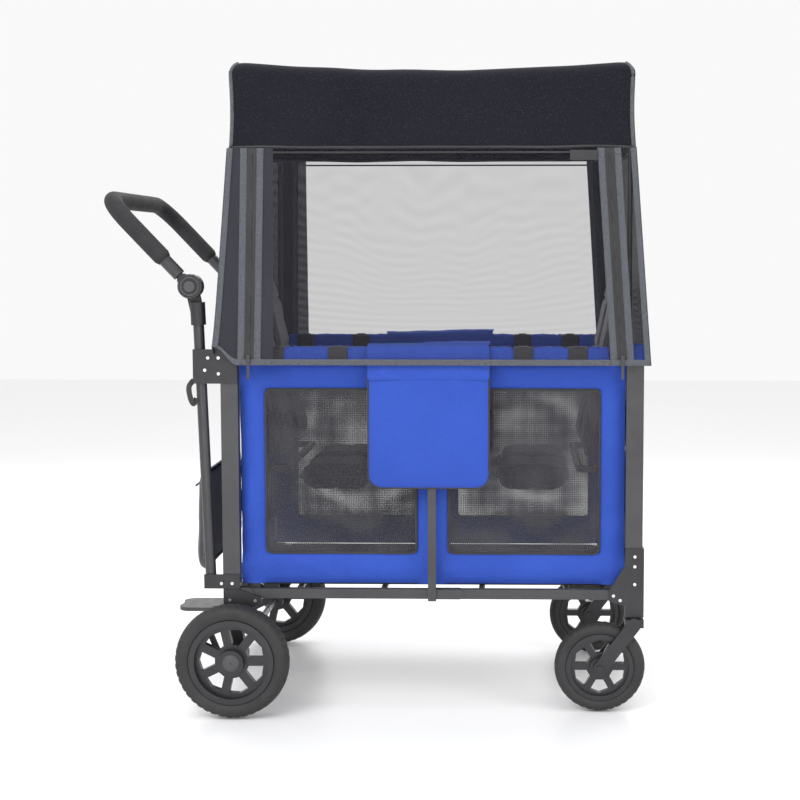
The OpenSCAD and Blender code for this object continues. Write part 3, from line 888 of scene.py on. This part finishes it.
roof = add("roof_sheet", grid("roof_sheet", roof_place, 132, 104), MAT["canopy_knit"], "root")
rim = []
for k in range(240):
    t = 4 * k / 240
    edge, along = int(t), 2 * (t - int(t))
    u, v = ((along / 2, 0), (1, along / 2), (1 - along / 2, 1), (0, 1 - along / 2))[edge]
    rim.append(roof_place(u, v))
hem = add("roof_hem", tube_mesh("roof_hem", rim, 0.0032, 6, closed=True, flat=0.6), MAT["piping_black"],
          "root")
round(area_of(roof.data), 3)
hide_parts("canopy_roof")
for piece in (roof, hem):
    folds_with(piece, -ROOF_X, ROOF_X)


# ---- the nets: a see-through window, denser ends, bindings and zips ----

NET_TOP, NET_LOW = 1.2500, 0.7775
TOP_X, LOW_X, TOP_Y, LOW_Y = 0.4450, 0.4790, 0.2815, 0.3110


def edge_x(t):
    return TOP_X + (LOW_X - TOP_X) * t


def zip_x(way, t):
    return -0.391 - 0.008 * t if way < 0 else 0.387 + 0.031 * t


def rear_lift(x, t):
    """The hem climbs to its pull at the rear corners."""
    climb = min(1.0, max(0.0, (-x - 0.425) / 0.050))
    return 0.040 * climb * climb * (3 - 2 * climb) * t ** 6


def net_point(side, x, t, out=0.0):
    slack = 0.007 * math.sin(math.pi * t) * (1 - (x / 0.5) ** 2)
    fold = wobble(Vector((x * 1.6, side * 2.0, t * 0.4)), 0.0035, 6) * math.sin(math.pi * min(1.0, t + 0.15))
    y = TOP_Y + (LOW_Y - TOP_Y) * t - slack + fold * 0.6 + out
    return spot(x, side * y, NET_TOP + (NET_LOW - NET_TOP) * t + rear_lift(x, t))


def net_strip(side, left, right, columns, rows=48, out=0.0, t0=0.0, t1=1.0):
    def place(u, v):
        t = t0 + (t1 - t0) * v
        return net_point(side, left(t) + (right(t) - left(t)) * u, t, out)

    return grid("strip", place, columns, rows)


TAPE, ZIP_HALF = 0.015, 0.0105


def net_corner(side, label, way, end, body):
    """What stays flat at one end of a side net: a dense panel, the zip and the bindings."""
    panels = [net_strip(side, lambda t: zip_x(way, t) + way * (ZIP_HALF + TAPE - 0.002),
                        lambda t: way * edge_x(t), 6)]
    if way < 0:
        panels.append(net_strip(side, lambda t: zip_x(way, t) + ZIP_HALF + TAPE - 0.002, lambda t: -0.345, 4))
    net = MAT["net_dense" if way < 0 else "net_black"]
    dense = add(f"net_dense_{end}_{label}", join("net_dense", panels), net, body)
    tapes = []
    for inner in (ZIP_HALF, -ZIP_HALF - TAPE):
        tapes.append(net_strip(side, lambda t, s=inner: zip_x(way, t) + s,
                               lambda t, s=inner: zip_x(way, t) + s + TAPE, 3, out=0.0012))
    tapes.append(net_strip(side, lambda t: way * (edge_x(t) - 0.006) - 0.006,
                           lambda t: way * (edge_x(t) - 0.006) + 0.006, 3, out=0.0014))
    inside = (lambda t: -0.346) if way < 0 else (lambda t: zip_x(1, t) - ZIP_HALF - TAPE)
    tapes.append(net_strip(side, inside, lambda t: way * edge_x(t), 14, 3, out=0.0016, t0=0.972))
    trim = add(f"net_trim_{end}_{label}", thicken(join("net_trim", tapes), 0.0010), MAT["binding_grey"], body)
    tape = net_strip(side, lambda t: zip_x(way, t) - ZIP_HALF - 0.001,
                     lambda t: zip_x(way, t) + ZIP_HALF + 0.001, 4, out=0.0006)
    coil = tube_mesh("coil", [net_point(side, zip_x(way, k / 80), k / 80, 0.0016) for k in range(2, 80)],
                     0.0017, 6, up=Vector((0, 1, 0)))
    zipper = add(f"net_zip_{end}_{label}", join("net_zip", [tape, coil]), MAT["webbing"], body)
    wide = 0.095 if way < 0 else 0.045
    min(round(area_of(dense.data), 4), wide * 0.476)


def net_side(side, label):
    net_corner(side, label, -1, "rear", "root")
    net_corner(side, label, 1, "front", "front")
    left, right = (lambda t: -0.346), (lambda t: zip_x(1, t) - ZIP_HALF - TAPE)
    window = add(f"net_window_{label}", net_strip(side, left, right, 60), MAT["net_black"], "root")
    trim = add(f"net_hem_{label}", thicken(net_strip(side, left, right, 70, 3, out=0.0016, t0=0.972), 0.0010),
               MAT["binding_grey"], "root")
    cord = add(f"net_cord_{label}", tube_mesh("cord", [net_point(side, -0.346 + 0.0118 * k, 0.020, 0.0015)
                                                       for k in range(61)], 0.0022, 6), MAT["piping_black"],
               "root")
    round(area_of(window.data), 3)
    for piece in (window, trim, cord):
        folds_with(piece, *WINDOW_SPAN)
    return window


WINDOW_SPAN = (-0.346, 0.377)
near_net = net_side(-1, "near")
net_side(1, "far")
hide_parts("net_sides")


def net_end(way, label, body):
    def place(u, t, out=0.0):
        y = (2 * u - 1) * (TOP_Y + (LOW_Y - TOP_Y) * t)
        slack = 0.006 * math.sin(math.pi * t) * (1 - (2 * u - 1) ** 2)
        corner = abs(2 * u - 1) ** 10
        lift = 0.040 * corner * t ** 6 if way < 0 else 0.0
        return spot(way * (edge_x(t) - slack + out), y, NET_TOP + (NET_LOW - NET_TOP) * t + lift)

    net = add(f"net_end_{label}_sheet", grid("net_end", place, 44, 48), MAT["net_dense"], body)
    strips = [grid("hem", lambda u, v: place(u, 0.972 + 0.028 * v, 0.0012), 44, 3)]
    for low_u in (0.0, 0.978):
        strips.append(grid("edge", lambda u, v, s=low_u: place(s + 0.022 * u, v, 0.0012), 3, 48))
    trim = add(f"net_end_{label}_trim", thicken(join("trim", strips), 0.0010), MAT["binding_grey"], body)
    round(area_of(net.data), 3)
    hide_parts(f"net_end_{label}")


net_end(-1, "rear", "root")
net_end(1, "front", "front")


# ---- top rail covers: sleeves gathered between webbing straps ----


def lofted(name, x0, x1, ring, rows, sides=28):
    """A sleeve along X. ring(x, k) gives the (y, z) of point k of the section at x."""
    points, faces = [], []
    for j in range(rows + 1):
        x = x0 + (x1 - x0) * j / rows
        points += [spot(x, *ring(x, k / sides)) for k in range(sides)]
    for j in range(rows):
        for k in range(sides):
            a, b = j * sides + k, j * sides + (k + 1) % sides
            faces.append((a, b, b + sides, a + sides))
    faces.append(tuple(reversed(range(sides))))
    faces.append(tuple(range(rows * sides, (rows + 1) * sides)))
    return mesh_from(name, points, faces)


def section(k, half_y, half_z, power=0.55):
    """A rounded rectangle's section, as a superellipse."""
    angle = 2 * math.pi * k
    c, s = math.cos(angle), math.sin(angle)
    return half_y * math.copysign(abs(c) ** power, c), half_z * math.copysign(abs(s) ** power, s)


COVER_Y, COVER_Z = 0.272, 0.800
STRAPS = {"rear": (-0.347, -0.207), "front": (0.202, 0.322)}
SPANS = {"rear": (-0.390, -0.034), "front": (0.074, 0.390)}
for label in ("rear", "front"):
    sleeves, straps = [], []
    for side in (-1, 1):
        def cover_ring(x, k, side=side, label=label):
            near = min(abs(x - s) for s in STRAPS[label])
            gather = math.exp(-(near / 0.030) ** 2)
            end = min(1.0, min(x - SPANS[label][0], SPANS[label][1] - x) / 0.012)
            y, z = section(k, 0.0117, 0.0150)
            drift = 7 * wobble(Vector((x, side, k * 3)), 1, 11)
            pucker = 0.0026 * math.sin(x * 380 + drift) * (0.3 + 0.7 * gather)
            soft = wobble(Vector((x * 3, side, k * 2)), 0.0025, 14)
            fit = 1.10 - 0.24 * gather - 0.10 * (1 - max(0.0, end)) + (pucker + soft) / 0.016
            free = y > 0 or z > 0
            fit = max(0.80, min(1.24 if free else 1.0, fit))
            return side * (COVER_Y + y * (fit if y > 0 else min(fit, 1.0))), COVER_Z + z * fit

        sleeves.append(lofted("sleeve", *SPANS[label], cover_ring, 150))
        for middle in STRAPS[label]:
            def strap_ring(x, k, side=side):
                y, z = section(k, 0.0130, 0.0162, 0.5)
                return side * (COVER_Y + y), COVER_Z + z + wobble(Vector((x, side, k)), 0.0006, 60)

            straps.append(lofted("strap", middle - 0.0215, middle + 0.0215, strap_ring, 10))
            straps.append(rounded_box("tab", spot(middle - 0.010, side * COVER_Y - 0.009, 0.8150),
                                      spot(middle + 0.010, side * COVER_Y + 0.009, 0.8178), 0.0008))
    sleeve = add(f"rail_cover_{label}", join("covers", sleeves), MAT["fabric_blue"], f"top_{label}")
    strap = add(f"rail_straps_{label}", join("straps", straps), MAT["webbing"], f"top_{label}")
    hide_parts(f"top_covers_{label}")


# ---- the blue caps over the front corners ----

for side, hand in ((-1, "near"), (1, "far")):
    cap = rounded_box("cap", spot(0.4245, side * 0.272 - 0.0175, 0.777),
                      spot(0.4725, side * 0.272 + 0.0175, 0.824), 0.009, 4)
    work = bmesh.new()
    work.from_mesh(cap)
    bmesh.ops.subdivide_edges(work, edges=list(work.edges), cuts=5, use_grid_fill=True)
    bmesh.ops.delete(work, geom=[f for f in work.faces if f.calc_center_median().z < 0.7775], context="FACES")
    for v in work.verts:
        v.co += (v.co - spot(0.4485, side * 0.272, 0.800)).normalized() * wobble(v.co, 0.0022, 34)
    work.to_mesh(cap)
    work.free()
    piece = add(f"corner_cap_{hand}", cap, MAT["fabric_blue"], "front")


# ---- side pouches and the rear pocket: sewn shells that sag ----


def shell(name, half_a, half_b, corner, depth, sag, place, steps=60, power=4.0):
    """A pocket's skin. place(a, b, out) puts it in space. It is deepest below its middle by sag."""
    def skin(u, v):
        a, b = 2 * u - 1, 2 * v - 1
        m = max(abs(a), abs(b), 1e-6)
        pa, pb = rounded_plan(a / m, b / m, half_a, half_b, corner)
        pa, pb = pa * m, pb * m
        low = 0.5 - 0.5 * pb / half_b
        swell = (1 - m ** power) ** 0.5 * (1 - sag + sag * low)
        crease = wobble(Vector((pa, pb, 1.0)), 0.0035, 14) + wobble(Vector((pa, pb, 5.0)), 0.0012, 45)
        return place(pa, pb, max(0.0008, depth * swell + crease * swell))

    return grid(name, skin, steps, steps)


def seam_line(half_a, half_b, corner, place, radius, out, inset=0.002):
    path = []
    for k in range(200):
        t = 4 * k / 200
        edge, along = int(t), 2 * (t - int(t)) - 1
        a, b = ((along, -1), (1, along), (-along, 1), (-1, -along))[edge]
        pa, pb = rounded_plan(a, b, half_a - inset, half_b - inset, corner)
        path.append(place(pa, pb, out))
    return tube_mesh("seam", path, radius, 6, closed=True)


POUCH_MID, POUCH_HALF = (-0.0065, 0.662), (0.135, 0.159)
for side, hand in ((-1, "near"), (1, "far")):
    def on_pouch(a, b, out, side=side):
        return spot(POUCH_MID[0] + a, side * (0.2917 + out), POUCH_MID[1] + b)

    skin = shell("pouch", *POUCH_HALF, 0.030, 0.0135, 0.45, on_pouch)
    pouch = add(f"pouch_{hand}", skin, MAT["fabric_blue"], "centre")
    back_a, back_b = POUCH_HALF[0] - 0.010, POUCH_HALF[1] - 0.010
    back = grid("pouch_back", lambda u, v: on_pouch((2 * u - 1) * back_a, (2 * v - 1) * back_b, 0.0002), 4, 4)
    flap = shell("flap", 0.134, 0.039, 0.008, 0.0045, 0.0,
                 lambda a, b, out, s=side: spot(POUCH_MID[0] + a, s * (0.2985 + out), 0.782 + b), 40, 8.0)
    lid = add(f"pouch_flap_{hand}", join("lid", [flap, back]), MAT["fabric_blue"], "centre")
    seams_here = [seam_line(*POUCH_HALF, 0.030, on_pouch, 0.0024, 0.0015)]


    def over_rail(u, v, side=side):
        """The pouch's hanging band: up its back, over the top rail and down inside."""
        x = POUCH_MID[0] + (2 * u - 1) * (0.134 - 0.002 * math.sin(9 * v))
        line = ((0.2925, 0.790), (0.2925, 0.812), (0.2885, 0.8215), (0.2740, 0.8255), (0.2600, 0.8215),
                (0.2560, 0.812), (0.2565, 0.786))
        k = min(len(line) - 2, int(v * (len(line) - 1)))
        t = v * (len(line) - 1) - k
        y, z = (line[k][i] + (line[k + 1][i] - line[k][i]) * t for i in (0, 1))
        crease = wobble(Vector((x * 1.5, side, v)), 0.0028, 17) + wobble(Vector((x, side, v * 2)), 0.0012, 50)
        return spot(x, side * y, z + abs(crease) * (1 if 0.1 < v < 0.9 else 0) + 0.003 * math.sin(x * 14))

    band = add(f"pouch_band_{hand}", grid("band", over_rail, 60, 30), MAT["fabric_blue"], "centre")
    round(area_of(band.data), 4)
    trim = add(f"pouch_piping_{hand}", join("pouch_piping", seams_here), MAT["piping_black"], "centre")
    min(0.0855, round(area_of(pouch.data), 3))
    if side == -1:
        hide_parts("side_pouches")


def on_pocket(a, b, out):
    return spot(-0.5148 - out, a, 0.4185 + b)


pocket = add("rear_pocket_skin", shell("pocket", 0.249, 0.111, 0.028, 0.030, 0.35, on_pocket, 72, 6.0),
             MAT["fabric_black"], "root")
panel_back = grid("pocket_back", lambda u, v: on_pocket((2 * u - 1) * 0.240, (2 * v - 1) * 0.102, 0.0002),
                  6, 4)
pocket_back = add("rear_pocket_back", panel_back, MAT["fabric_black"], "root")
pocket_trim = add("rear_pocket_trim", join("trim", [
    seam_line(0.249, 0.111, 0.028, on_pocket, 0.0026, 0.0016),
    tube_mesh("opening", [spot(-0.5455 + 0.010 * abs(y) / 0.24, y, 0.500 - 0.004 * math.cos(y * 6))
                          for y in [-0.225 + 0.015 * k for k in range(31)]], 0.0024, 6)]),
    MAT["binding_grey"], "root")
min(0.111, round(area_of(pocket.data), 3))
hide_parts("rear_pocket")


# ---- bindings down the roof's corners, and a blank label ----

corners = []
for u, v in ((0, 0), (1, 0), (1, 1), (0, 1)):
    path = []
    for k in range(26):
        m = 0.66 + 0.34 * k / 25
        path.append(roof_place(0.5 + (u - 0.5) * m, 0.5 + (v - 0.5) * m))
    corners.append(tube_mesh("corner", path, 0.0042, 8))
corner_binding = add("roof_corner_binding", join("corner_binding", corners), MAT["binding_grey"], "root")
folds_with(corner_binding, -ROOF_X, ROOF_X)
tag_mesh = rounded_box("blank_label", spot(0.302, -0.2862, 1.2230), spot(0.362, -0.2846, 1.2450), 0.0006)
tag = add("blank_label", tag_mesh, MAT["webbing"], "root")
folds_with(tag, *WINDOW_SPAN)


# ---- the foam grip ----

RISE = math.radians(46.5)
ARM = Vector((-math.cos(RISE), 0, math.sin(RISE)))
KNUCKLE = spot(-0.532, 0, 0.949)


def on_handle(reach, y):
    return KNUCKLE + ARM * reach + Vector((0, y, 0))


grip_path = [on_handle(0.080 + 0.113 * k / 12, -0.278) for k in range(12)]
grip_path += [on_handle(0.193 + 0.070 * math.sin(a), -0.208 - 0.070 * math.cos(a))
              for a in (math.pi / 2 * k / 12 for k in range(12))]
grip_path += [on_handle(0.263, -0.208 + 0.416 * k / 30) for k in range(31)]
grip_path += [Vector((p.x, -p.y, p.z)) for p in reversed(grip_path[:24])]


def grip_radius(t):
    end = min(1.0, min(t, 1 - t) / 0.012)
    return 0.0158 + 0.0038 * end ** 0.5


grip = add("foam_sleeve", tube_mesh("foam_sleeve", grip_path, grip_radius, 28,
                                   up=Vector((math.sin(RISE), 0, math.cos(RISE)))),
           MAT["foam_grip"], "handle")
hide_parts("handle_grip")


# ---- small details: knuckle rings, hub caps, and a webbing strap loop at the rear ----


def ring(name, centre, outer, inner, half, steps=48):
    profile = [(inner, -half), (outer - 0.0008, -half), (outer, -half + 0.0008), (outer, half - 0.0008),
               (outer - 0.0008, half), (inner, half)]
    return lathe(name, profile, centre, steps)


def dome(centre, radius, height, side, steps=32):
    profile = [(0.0002, -0.0005), (radius, -0.0005)]
    profile += [(max(0.0002, radius * math.cos(a)), height * math.sin(a)) for a in
                (math.pi / 2 * k / 6 for k in range(7))]
    return lathe("dome", [(r, side * y) for r, y in profile], centre, steps)


for side, hand in ((-1, "near"), (1, "far")):
    rings = [ring("ring", KNUCKLE + Vector((0, side * 0.2850, 0)), 0.0215, 0.0175, 0.0012),
             ring("ring", KNUCKLE + Vector((0, side * 0.2848, 0)), 0.0255, 0.0242, 0.0009)]
    add(f"knuckle_rings_{hand}", join("rings", rings), MAT["plastic_grey"], "handle")
    low, high = box(f"rim_rear_{hand}")
    middle = (low + high) / 2
    face = high.y if side > 0 else low.y
    caps = [dome(Vector((middle.x, face, middle.z)), 0.019, 0.0045, side)]
    add(f"hub_cap_rear_{hand}", join("caps", caps), MAT["plastic_grey"], f"wheel_rear_{hand}")

loop_path = smooth_path([spot(-0.5285, -0.2705, 0.742), spot(-0.536, -0.2880, 0.728),
                         spot(-0.5330, -0.2905, 0.704), spot(-0.5265, -0.2875, 0.690),
                         spot(-0.5215, -0.2800, 0.702)], 6)
loop = tube_mesh("strap_loop", loop_path, 0.0012, 8, flat=5.0, up=Vector((0, 1, 0)))
add("strap_loop", loop, MAT["webbing"], "root")
